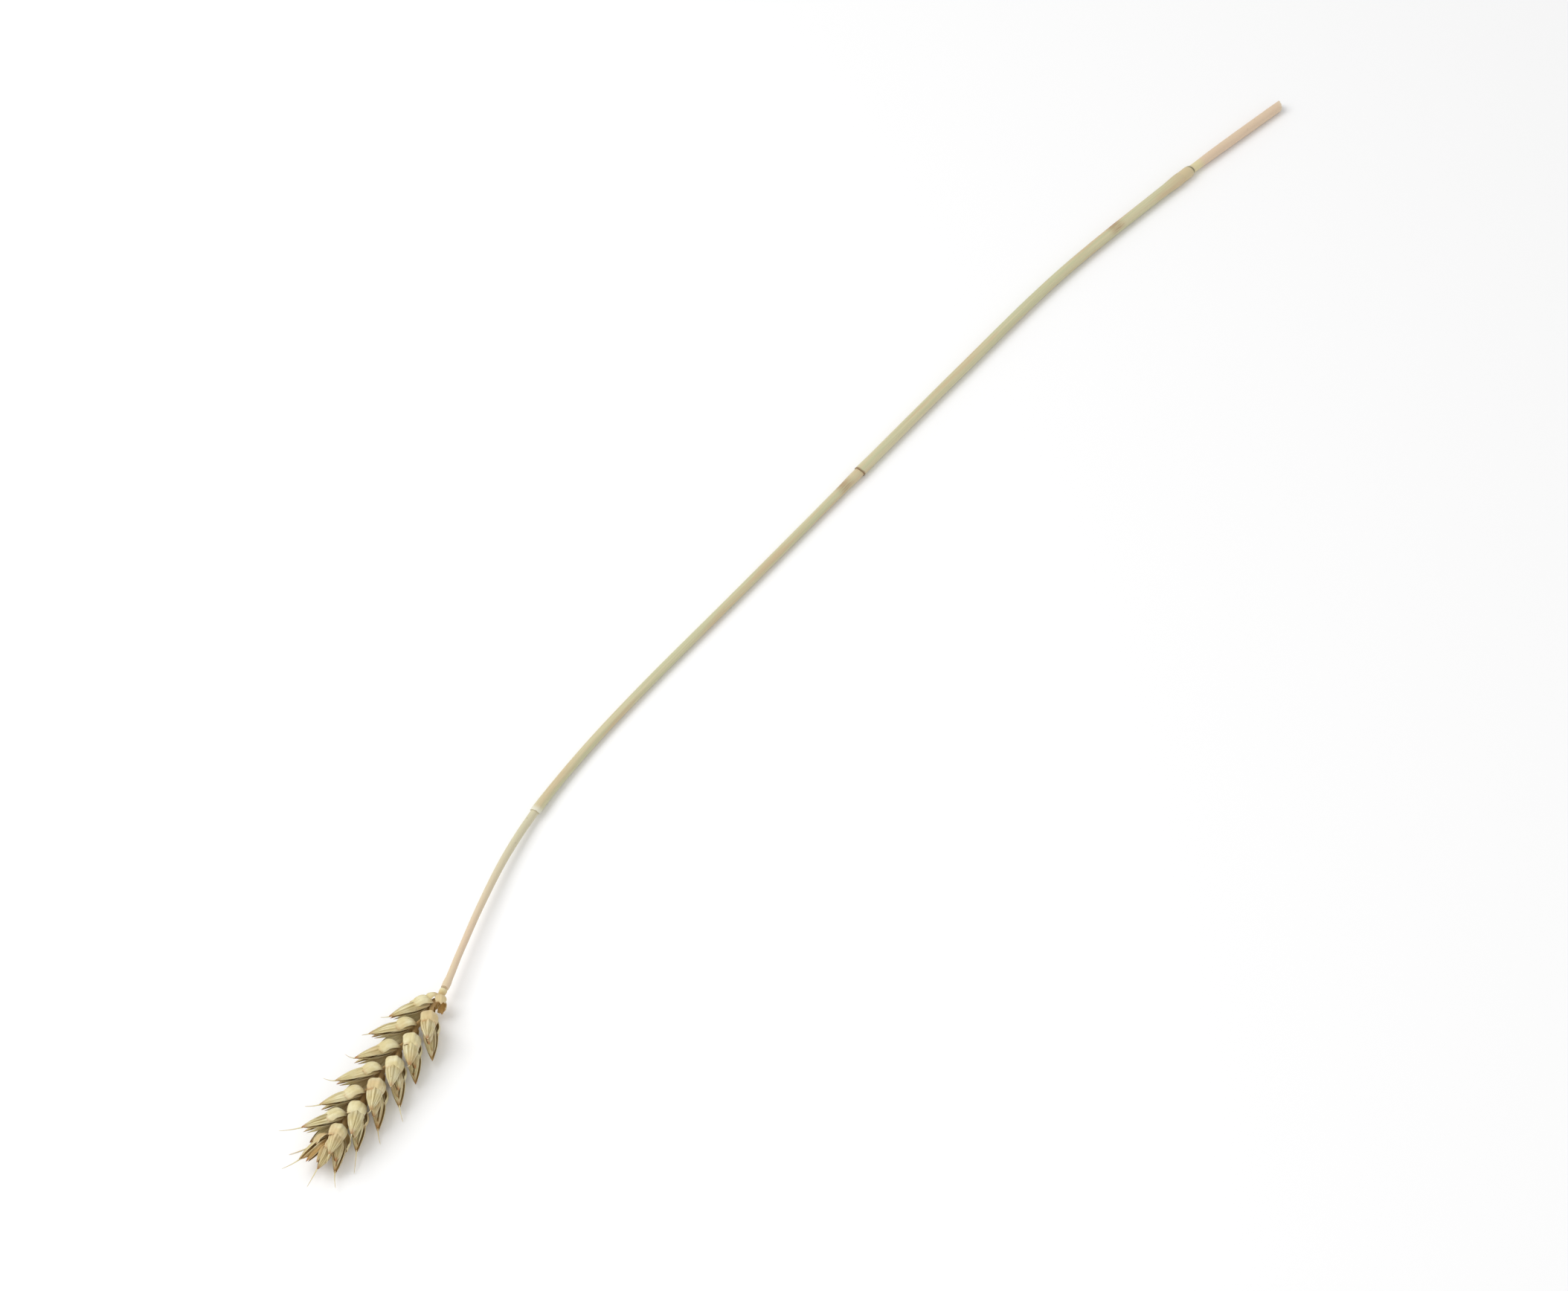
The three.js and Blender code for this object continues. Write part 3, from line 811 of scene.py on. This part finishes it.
@dataclass
class Ear:
    """The head: zigzag stalk, two rows of spikelets, the end spikelet and stunted ones."""

    line: GrowthLine
    spikelets: int = 12
    first: float = 5.0
    pitch: float = 5.5
    roll: float = math.radians(-8)
    splay_foot: float = math.radians(38)
    splay_tip: float = math.radians(26)
    half_base: float = 0.7
    stalk_width: float = 1.25
    stalk_thick: float = 0.75
    zigzag: float = 0.85
    foot: float = -2.1
    foot_radius: float = 1.4
    seat: float = 0.3
    wall: float = 0.16
    beak_width: float = 0.16
    awn_radius: float = 0.2
    awn_sunk: float = 1.6
    paired_awns_from: float = 0.3
    floor_gap: float = 0.02
    fan_drift: float = 2.5
    smallest: float = 0.86
    gain: float = 0.16
    end_sunk: float = 1.5
    end_lean: float = 0.05
    end_size: float = 0.85
    stunted_at: float = 1.5
    stunted_splay: float = 0.5
    # distances from the head's middle over which the painted shade in the gaps fades out, in
    # millimetres
    sunk_near: float = 1.2
    sunk_far: float = 4.8
    draw: Draw = field(default_factory=lambda: Draw(20771))
    detail: Draw = field(default_factory=lambda: Draw(517))
    mould: Mould = field(default_factory=Mould)
    shapes: dict[Husk, bpy.types.Mesh] = field(init=False)
    rod: bpy.types.Mesh = field(init=False)

    def __post_init__(self) -> None:
        """Makes the shapes that husks and awns are stamped from."""
        self.shapes = {kind: flat_sheet(form.rows, form.columns) for kind, form in FORMS.items()}
        self.rod = round_rod(6, 14)

    def _head_frame(self, height: float) -> tuple[Vector, Vector, Vector, Vector]:
        """The middle of the head.

        Args:
            height: The distance above its foot, in millimetres.

        Returns:
            The point, and the ways of growth, of the rows and of the face.
        """
        place = self.line.at(-height)
        turn, lift = math.cos(self.roll), math.sin(self.roll)
        row = place.side * turn + place.up * lift
        face = place.up * turn - place.side * lift
        return place.point, -place.along, row, face

    def _set(self, vert: bmesh.types.BMVert, point: Vector, lowest: float,
             **values: float) -> None:
        """Puts a point and notes its values and how near the middle of the head it sits, for the
        painted shade in the gaps.

        Args:
            vert: The point to put.
            point: Where it goes, in millimetres.
            lowest: The height that it is held above.
            values: Its values for the finish.
        """
        point = Vector((point.x, point.y, max(point.z, lowest)))
        vert.co = point * MM
        height = self.line.at(0.0).point.x - point.x
        middle = self._head_frame(clamp(height, -2.0, 84.0))[0]
        reach = (point - middle).length
        # painted shade value: 1 close to the middle of the head, fading to 0 farther out
        self.mould.note(vert, sunk=1.0 - smooth(self.sunk_near, self.sunk_far, reach), **values)

    def _husk(self, kind: Husk, root: Vector, axis: Vector, back: Vector, scale: float,
              tone: float) -> GrownHusk:
        """Models one husk: a thin sheet curved like a boat, with a keel along its back.

        Args:
            kind: Which husk it is.
            root: Where it starts, in millimetres.
            axis: The way it points.
            back: The way its keel faces.
            scale: Its size against its kind's.
            tone: Its own tint, from 0 to 1.

        Returns:
            The husk's tip and directions.
        """
        form = FORMS[kind]
        across = back.cross(axis).normalized()
        outward = axis.cross(across).normalized()
        seed = Vector((tone * 90.0, scale * 40.0, root.x))
        off = (tone - 0.5) * 0.12
        sheet = 2 if kind is Husk.PALEA else 0
        for vert in self.mould.stamp(self.shapes[kind]):
            t, v, inside = vert.co.x * 0.5 + 0.5, vert.co.y, min(abs(vert.co.z), 1.0)
            thin = self.wall * inside
            turn = v * math.pi / 2 * form.wrap
            beak = math.exp(-((v - off) / self.beak_width) ** 2)
            spread = form.spread(t)
            wave = noise.noise(seed + Vector((v * 1.8, 0.0, t * 4.0)))
            ruffle = noise.noise(seed + Vector((v * 5.0, 7.0, t * 9.0)))
            lift = form.lift(t, turn, thin, beak) + (0.22 * wave + 0.06 * ruffle) * form.height(t)
            width = (form.width - thin) * spread * math.sin(turn) * (1.0 + 0.4 * off * v)
            width += 0.1 * ruffle * spread
            length = form.length * t * (1.0 - form.short(v - off, beak) * t ** 3)
            length -= 0.3 * abs(ruffle) * smooth(0.8, 1.0, t) * float(form.hooded)
            point = root + (axis * length + across * width + outward * lift) * scale
            layer = sheet + (inside if sheet == 0 else 1.0 - inside)
            self._set(vert, point, self.floor_gap + self.wall * layer, along=t, across=v,
                      tone=tone, inside=inside, striped=form.striped)
        tip = root + (axis * form.length + outward * form.lift(1.0, 0.0, 0.0, 1.0)) * scale
        return GrownHusk(kind, root, tip, axis, outward, scale)

    def _palea(self, husk: GrownHusk, tone: float) -> None:
        """Models the inner husk that closes a floret.

        Args:
            husk: The outer husk that it faces.
            tone: Its own tint, from 0 to 1.
        """
        root = husk.root + husk.axis * (0.9 * husk.scale)
        size = husk.scale * (1.0 if husk.kind is Husk.LEMMA else 0.8)
        self._husk(Husk.PALEA, root, husk.axis, -husk.outward, size, tone)

    def _awn(self, husk: GrownHusk, length: float, bend: float) -> None:
        """Models a slim awn that leaves a husk's tip.

        Args:
            husk: The husk that it grows on.
            length: Its free length.
            bend: How far its end bends outwards.
        """
        side = husk.axis.cross(husk.outward).normalized()
        root = husk.tip - husk.axis * self.awn_sunk
        kink = self.detail() * 1.1
        browned = 0.35 if husk.kind is Husk.GLUME else 0.7
        for vert in self.mould.stamp(self.rod):
            t, turn, body = on_rod(vert)
            radius = body * self.awn_radius * mix(1.7, 0.35, t ** 0.5)
            middle = (root + husk.axis * ((length + self.awn_sunk) * t)
                      + husk.outward * (bend * t * t) + side * (kink * t * t))
            middle.z = max(middle.z, self.awn_radius + self.floor_gap)
            point = (middle + husk.outward * (radius * math.cos(turn))
                     + side * (radius * math.sin(turn)))
            self._set(vert, point, self.floor_gap, along=mix(browned, browned + 0.3, t),
                      across=0.5, tone=0.4, inside=0.0, striped=0.0)

    def _spikelet(self, root: Vector, lean: Lean, plan: tuple[Seat, ...], scale: float,
                  share: float) -> None:
        """Models one spikelet: its husks fanned from its root, and their awns.

        Args:
            root: Where it stands, in millimetres.
            lean: Its directions.
            plan: Its husks.
            scale: Its size.
            share: How far up the head it stands, from 0 to 1.
        """
        grown = []
        for seat in plan:
            angle = math.radians(seat.fanned + self.fan_drift * self.draw())
            reach = (lean.axis * math.cos(angle) + lean.fan * (seat.hand * math.sin(angle))
                     + lean.outward * (0.07 * self.draw())).normalized()
            back = lean.fan * seat.hand + lean.outward * seat.outwards
            start = (root + lean.axis * (seat.up * scale)
                     + lean.fan * (seat.hand * self.half_base * scale))
            size = scale * seat.size * (1.0 + 0.04 * self.draw())
            tone = 0.5 + 0.5 * self.detail()
            grown.append(self._husk(seat.kind, start, reach, back, size, tone))
        for husk in grown:
            if husk.kind in (Husk.LEMMA, Husk.INNER):
                self._palea(husk, 0.5 + 0.5 * self.detail())
        for hood in grown[:2]:
            if hood.kind is Husk.GLUME and self.detail() > 0.1:
                self._awn(hood, 1.8 + 1.2 * abs(self.detail()), 1.3 * self.detail() - 0.5)
        lemmas = [husk for husk in grown if husk.kind is Husk.LEMMA]
        for lemma in lemmas[:1 if share < self.paired_awns_from else 2]:
            length = mix(2.2, 7.0, share ** 2) * (1.0 + 0.3 * self.draw())
            self._awn(lemma, length, (1.5 - share) * (1.4 + self.draw()))

    def _stalk(self, top: float) -> None:
        """Models the zigzag stalk inside the head, round where the straw meets it.

        Args:
            top: Its height above the head's foot.
        """
        for vert in self.mould.stamp(round_rod(16, 96)):
            t, turn, body = on_rod(vert)
            height = mix(self.foot, top, t)
            step = (height - self.first) / self.pitch
            swing = (abs(step % 2.0 - 1.0) * 2.0 - 1.0) * smooth(-1.0, 0.0, step)
            joint = 0.18 * abs(swing) ** 6
            round_foot = smooth(3.0, -1.0, height)
            thick = (mix(self.stalk_thick, self.foot_radius, round_foot) + joint) * body
            wide = (mix(self.stalk_width, self.foot_radius, round_foot) + joint) * body
            middle, _, row, face = self._head_frame(height)
            point = (middle + row * (math.cos(turn) * thick + self.zigzag * swing)
                     + face * (math.sin(turn) * wide))
            self._set(vert, point, self.floor_gap, along=0.4, across=math.cos(turn) * 0.8,
                      tone=0.3, inside=0.0, striped=0.6 * (1.0 - round_foot))
            # no painted shade where the stalk rounds into the straw
            vert[self.mould.layers["sunk"]] *= 1.0 - round_foot

    def build(self, material: bpy.types.Material) -> bpy.types.Object:
        """Models the whole head and dresses it.

        Args:
            material: The husks' finish.

        Returns:
            The head's object.
        """
        top = self.first + self.spikelets * self.pitch
        self._stalk(top)
        for i in range(self.spikelets):
            share = i / (self.spikelets - 1)
            point, growth, row, face = self._head_frame(self.first + i * self.pitch)
            sideways = row * (1 if i % 2 == 0 else -1)
            splay = mix(self.splay_foot, self.splay_tip, share) + 0.04 * self.draw()
            scale = self.smallest + self.gain * math.sin(math.pi * (0.2 + share * 0.6))
            lean = Lean.of(growth, sideways, face, splay)
            self._spikelet(point + sideways * self.seat, lean, FULL_SPIKELET, scale, share)
        point, growth, row, face = self._head_frame(top - self.end_sunk)
        lean = Lean.of(growth, face, row, self.end_lean)
        self._spikelet(point, lean, FULL_SPIKELET, self.end_size, 1.0)
        point, growth, row, face = self._head_frame(self.stunted_at)
        for hand in (1, -1):
            lean = Lean.of(growth, row * hand, face, self.stunted_splay)
            self._spikelet(point, lean, STUNTED_SPIKELET, 1.0, 0.0)
        return self.mould.release("wheat_ear", material, "husk", 60.0, "ear")


@dataclass
class Culm:
    """The bare straw from the foot of the ear to its cut end, hollow where it is cut."""

    line: GrowthLine
    profile: Profile = (
        (2.4, 1.35), (3.4, 1.44), (4.6, 1.5), (7, 1.3), (20, 1.22), (50, 1.33), (84, 1.44),
        (94, 1.44), (104, 1.0), (120, 0.92), (200, 0.95), (280, 1.05), (291, 1.15), (295, 1.5),
        (298, 1.55), (304, 1.4), (306, 1.25), (400, 1.3), (500, 1.4), (508, 1.9), (511, 2.3),
        (513, 2.4), (515, 2.42), (516.6, 2.36), (517.5, 2.2), (518.1, 1.9), (519.4, 1.76),
        (521, 1.72), (524, 1.76), (530, 1.88), (545, 1.98), (574, 2.03),
    )
    wall: float = 0.42
    bore_depth: float = 50.0
    around: int = 44
    step: float = 2.5
    rag: float = 0.8
    slant: float = 1.3
    end_zone: float = 6.0
    bore_rings: int = 10
    mould: Mould = field(default_factory=Mould)

    def _outline(self) -> list[tuple[float, float, float]]:
        """The straw's outline, from its foot to the bottom of its bore.

        Returns:
            The distance, the radius and 1 inside the bore, for each of its points.
        """
        start, end = self.profile[0][0], self.profile[-1][0]
        count = int((end - start) / self.step)
        places = sorted({round(mix(start, end, i / count), 3) for i in range(count + 1)}
                        | {place for place, _ in self.profile})
        outline = [(start, 0.05, 0.0), (start, read(self.profile, start) * 0.9, 0.0)]
        outline += [(place, read(self.profile, place), 0.0) for place in places]
        radius = outline[-1][1]
        outline.append((end + 0.05, radius - 0.5 * self.wall, 0.0))
        for i in range(self.bore_rings + 1):
            place = end - self.bore_depth * (i / self.bore_rings) ** 2
            outline.append((place, radius - self.wall, 1.0))
        outline.append((end - self.bore_depth, 0.05, 1.0))
        return outline

    def build(self, material: bpy.types.Material) -> bpy.types.Object:
        """Spins the outline, bends it along the line and dresses it.

        Args:
            material: The bare straw's finish.

        Returns:
            The straw's object.
        """
        bm = self.mould.bm
        outline = self._outline()
        verts = [bm.verts.new((place, radius, 0.0)) for place, radius, _ in outline]
        for vert, (_, _, inside) in zip(verts, outline):
            self.mould.note(vert, inside=inside)
        edges = [bm.edges.new(pair) for pair in zip(verts, verts[1:])]
        bmesh.ops.spin(bm, geom=[*verts, *edges], cent=(0, 0, 0), axis=(1, 0, 0), dvec=(0, 0, 0),
                       angle=2 * math.pi, steps=self.around, use_merge=True, use_duplicate=False)
        bmesh.ops.remove_doubles(bm, verts=bm.verts, dist=1e-4)
        end = self.profile[-1][0]
        for vert in bm.verts:
            place, turn = vert.co.x, math.atan2(vert.co.z, vert.co.y)
            radius = math.hypot(vert.co.y, vert.co.z)
            near_end = smooth(end - self.end_zone, end, place)
            ragged = (self.rag * noise.noise(Vector((turn * 1.7, 3.1, 0.0)))
                      + self.slant * math.cos(turn))
            flat = 1.0 - 0.1 * near_end * abs(math.sin(turn))
            rib = 1.0 + 0.006 * math.sin(turn * 18.0)
            spot = self.line.at(place + ragged * near_end)
            self.mould.note(vert, along=place, sine=math.sin(turn), cosine=math.cos(turn))
            point = (spot.point + spot.side * (math.cos(turn) * radius * rib)
                     + spot.up * (math.sin(turn) * radius * rib * flat))
            vert.co = Vector((point.x, point.y, max(point.z, SURFACE_GAP))) * MM
        return self.mould.release("bare_straw", material, "straw", 50.0, "culm")


@dataclass
class Sheath:
    """A leaf sheath: a thin sheet rolled round the straw, one edge laid over the other."""

    line: GrowthLine
    name: str
    node: str
    profile: Profile
    seam: float = math.radians(158)
    overlap: float = math.radians(26)
    wall: float = 0.3
    lap: float = 0.16
    slant: float = 1.6
    rag: float = 0.28
    around: int = 56
    step: float = 2.2
    mouth_zone: float = 5.0
    mould: Mould = field(default_factory=Mould)

    def build(self, material: bpy.types.Material) -> bpy.types.Object:
        """Rolls a flat sheet round the line and dresses it.

        Args:
            material: The sheath's finish.

        Returns:
            The sheath's object.
        """
        mouth, base = self.profile[0][0], self.profile[-1][0]
        rows = int((base - mouth) / self.step)
        for vert in self.mould.stamp(flat_sheet(rows, self.around)):
            share, across = vert.co.x * 0.5 + 0.5, vert.co.y * 0.5 + 0.5
            outside = 1.0 - min(abs(vert.co.z), 1.0)
            place = mix(mouth, base, share)
            turn = self.seam + self.overlap / 2 + across * (2 * math.pi)
            turn += (across - 0.5) * self.overlap
            near_mouth = smooth(mouth + self.mouth_zone, mouth, place)
            slant = -self.slant * 0.5 * (1.0 + math.sin(turn))
            ragged = self.rag * noise.noise(Vector((turn * 2.2, mouth, 0.7)))
            lifted = self.lap * smooth(0.75, 1.0, across) - self.lap * smooth(0.25, 0.0, across)
            radius = (read(self.profile, place) - self.lap - self.wall * (1.0 - outside)
                      + lifted + 0.006 * math.sin(turn * 27.0))
            spot = self.line.at(place + (slant + ragged) * near_mouth)
            self.mould.note(vert, along=place, turn=turn, inside=1.0 - outside)
            point = (spot.point + spot.side * (math.cos(turn) * radius)
                     + spot.up * (math.sin(turn) * radius))
            vert.co = Vector((point.x, point.y, max(point.z, SURFACE_GAP))) * MM
        return self.mould.release(self.name, material, "sheath", 40.0, self.node)


@dataclass
class Studio:
    """The pale floor, the soft light and the camera."""

    azimuth: float = -52.2
    elevation: float = 47.0
    distance: float = 1.75
    focal_pixels: float = 6400.0
    target: Vector = field(default_factory=lambda: Vector((-0.034, -0.001, 0.0)))
    sensor: float = 36.0

    def floor(self) -> None:
        """Lays the pale floor."""
        bm = bmesh.new()
        bmesh.ops.create_grid(bm, x_segments=1, y_segments=1, size=6.0)
        mesh = bpy.data.meshes.new("floor")
        bm.to_mesh(mesh)
        bm.free()
        material = bpy.data.materials.new("pale_floor")
        material.use_nodes = True
        surface = material.node_tree.nodes["Principled BSDF"]
        surface.inputs["Base Color"].default_value = (0.96, 0.96, 0.96, 1.0)
        surface.inputs["Roughness"].default_value = 0.9
        surface.inputs["Specular IOR Level"].default_value = 0.1
        mesh.materials.append(material)
        plane = bpy.data.objects.new("floor", mesh)
        bpy.context.scene.collection.objects.link(plane)

    def light(self) -> None:
        """Sets a bright even sky and two large soft lamps."""
        world = bpy.data.worlds.new("studio")
        world.use_nodes = True
        sky = world.node_tree.nodes["Background"]
        sky.inputs["Color"].default_value = (1.0, 1.0, 1.0, 1.0)
        sky.inputs["Strength"].default_value = 0.64
        bpy.context.scene.world = world
        for name, place, size, power in (("key", (-0.7, 0.9, 1.5), 1.4, 19.0),
                                         ("fill", (-1.2, -1.4, 1.4), 1.8, 7.0)):
            lamp = bpy.data.lights.new(name, "AREA")
            lamp.size = size
            lamp.energy = power
            holder = bpy.data.objects.new(name, lamp)
            holder.location = place
            aim = -Vector(place)
            holder.rotation_euler = aim.to_track_quat("-Z", "Y").to_euler()
            bpy.context.scene.collection.objects.link(holder)

    def camera(self) -> None:
        """Places the camera at the photograph's viewing angle."""
        turn, lift = math.radians(self.azimuth), math.radians(self.elevation)
        forward = Vector((-math.sin(turn) * math.cos(lift), math.cos(turn) * math.cos(lift),
                          -math.sin(lift)))
        lens = bpy.data.cameras.new("camera")
        lens.sensor_fit = "HORIZONTAL"
        lens.sensor_width = self.sensor
        lens.lens = self.focal_pixels / IMAGE_WIDTH * self.sensor
        lens.clip_start = 0.01
        holder = bpy.data.objects.new("camera", lens)
        holder.location = self.target - forward * self.distance
        holder.rotation_euler = forward.to_track_quat("-Z", "Y").to_euler()
        bpy.context.scene.collection.objects.link(holder)
        bpy.context.scene.camera = holder

    def build(self) -> None:
        """Sets up the whole studio."""
        bpy.context.scene.view_settings.view_transform = "Standard"
        self.floor()
        self.light()
        self.camera()


def main() -> None:
    logging.basicConfig(level=logging.INFO, format="%(name)s %(message)s")
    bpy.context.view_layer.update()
    line = GrowthLine()
    line.settle(Culm.profile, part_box("culm"))
    LOG.info("foot of the ear at %s mm", line.foot[:])
    Studio().build()
    Ear(line).build(HuskFinish().make())
    Culm(line).build(StrawFinish().make())
    Sheath(line, "upper_sheath", "flag_leaf_sheath", (
        (91, 2.0), (93, 1.98), (97, 1.92), (104, 1.86), (130, 1.85), (200, 1.85), (270, 1.9),
        (288, 1.98), (292, 2.14), (296, 2.16), (299, 2.02), (300.5, 1.9),
    )).build(SheathFinish("upper_sheath", 91.0, 298.0, 288.0, 0.0, 0.8).make())
    Sheath(line, "lower_sheath", "second_leaf_sheath", (
        (299, 2.42), (301, 2.38), (306, 2.26), (340, 2.2), (430, 2.25), (490, 2.32), (504, 2.45),
        (508, 2.7), (511.5, 2.66),
    )).build(SheathFinish("lower_sheath", 299.0, 511.5, 470.0, 0.85, 0.0).make())


if __name__ == "__main__":
    main()
